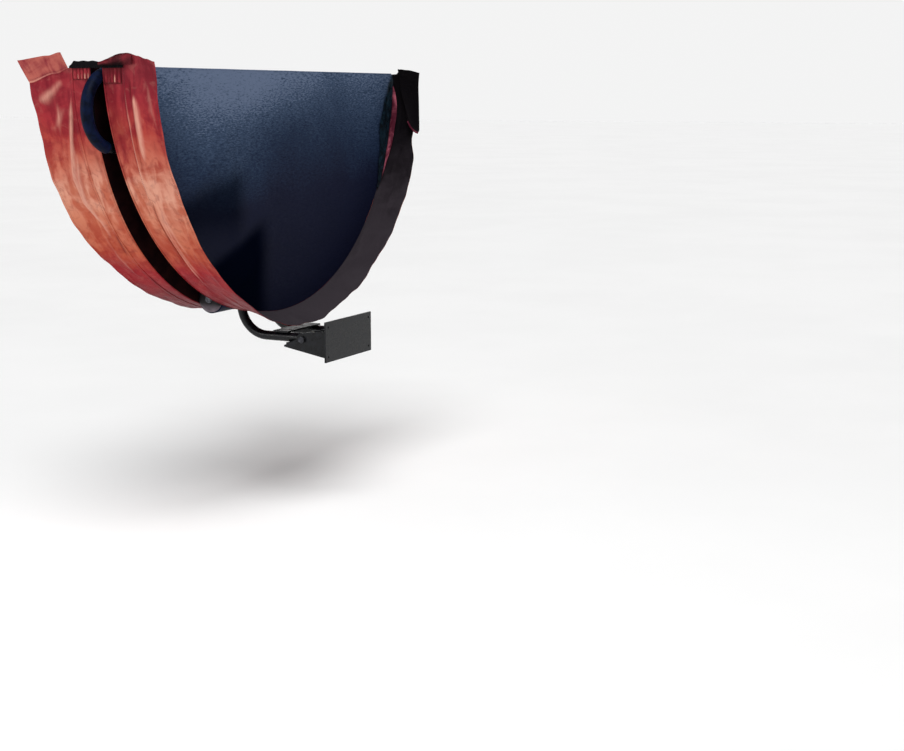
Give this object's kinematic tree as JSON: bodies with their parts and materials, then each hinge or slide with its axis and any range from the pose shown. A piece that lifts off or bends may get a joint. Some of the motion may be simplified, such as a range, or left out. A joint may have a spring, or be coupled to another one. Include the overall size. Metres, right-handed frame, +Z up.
{
  "type": "spa cover",
  "caption": "Round bi-fold foam spa cover in vinyl with a hanging skirt, folded over a tubular lifter that swings on a wall plate.",
  "frame": {"origin": "middle of the four bolt holes on the wall plate's back face, which meets the tub's cabinet", "axes": "+X along the fold, +Y away from the tub, +Z up"},
  "size_m": [1.964, 0.653, 1.1195],
  "materials": {
    "vinyl": "satin",
    "liner": "satin",
    "foam": "matte",
    "vapour_film": "gloss",
    "zip_tape": "matte",
    "black_tube": "gloss",
    "foam_grip": "satin",
    "grey_plastic": "satin",
    "zinc_steel": "satin",
    "nylon": "matte",
    "rubber_pad": "matte"
  },
  "bodies": {
    "wall_bracket": {"wall_plate": "black_tube", "stop_pads": "rubber_pad", "pivot_bolts": "zinc_steel", "pivot_nuts": "zinc_steel", "thrust_washers": "nylon"},
    "lifter_and_near_half": {"near_foam_core": "foam", "near_vapour_wrap": "vapour_film", "near_channel": "zinc_steel", "near_top_skin": "vinyl", "near_rim_band": "vinyl", "near_underside_liner": "liner", "near_butt_panel": "vinyl", "near_zip": "zip_tape", "near_skirt": "vinyl", "near_skirt_flap": "vinyl", "near_corner_gathers": "vinyl", "hinge_strip": "vinyl", "top_bar": "black_tube", "left_lower_bar": "black_tube", "middle_lower_bar": "black_tube", "right_lower_bar": "black_tube", "left_handle_bend": "black_tube", "right_handle_bend": "black_tube", "left_handle_grip": "foam_grip", "right_handle_grip": "foam_grip", "handle_screws": "zinc_steel", "left_arm": "black_tube", "right_arm": "black_tube", "cross_brace": "black_tube", "pivot_sleeves": "black_tube", "pivot_bushes": "nylon", "roller_axle": "zinc_steel", "roller_collars": "grey_plastic", "axle_clips": "zinc_steel"},
    "far_half": {"far_foam_core": "foam", "far_vapour_wrap": "vapour_film", "far_channel": "zinc_steel", "far_top_skin": "vinyl", "far_rim_band": "vinyl", "far_underside_liner": "liner", "far_butt_panel": "vinyl", "far_zip": "zip_tape", "far_skirt": "vinyl", "far_skirt_flap": "vinyl", "far_corner_gathers": "vinyl"},
    "left_spinning_roller": {"left_roller": "foam_grip", "left_roller_core": "grey_plastic", "left_roller_cap": "grey_plastic"},
    "right_spinning_roller": {"right_roller": "foam_grip", "right_roller_core": "grey_plastic", "right_roller_cap": "grey_plastic"},
    "near_zip_pull": {"near_zip_slider": "zinc_steel"},
    "far_zip_pull": {"far_zip_slider": "zinc_steel"}
  },
  "joints": [
    {"name": "lifter_swing", "type": "hinge", "parent": "wall_bracket", "child": "lifter_and_near_half", "pos_m": [0, 0.12, 0], "axis": [1, 0, 0], "range_deg": [0, 90]},
    {"name": "cover_fold", "type": "hinge", "parent": "lifter_and_near_half", "child": "far_half", "pos_m": [0, 0.41, 0.985], "axis": [1, 0, 0], "range_deg": [0, 179.5]},
    {"name": "left_roller_spin", "type": "hinge", "parent": "lifter_and_near_half", "child": "left_spinning_roller", "pos_m": [-0.2, 0.41, 0.155], "axis": [1, 0, 0], "continuous": true},
    {"name": "right_roller_spin", "type": "hinge", "parent": "lifter_and_near_half", "child": "right_spinning_roller", "pos_m": [0.2, 0.41, 0.155], "axis": [1, 0, 0], "continuous": true},
    {"name": "near_zip_slide", "type": "slide", "parent": "lifter_and_near_half", "child": "near_zip_pull", "axis": [1, 0, 0], "range_m": [0, 1.5]},
    {"name": "far_zip_slide", "type": "slide", "parent": "far_half", "child": "far_zip_pull", "axis": [-1, 0, 0], "range_m": [0, 1.5]}
  ]
}
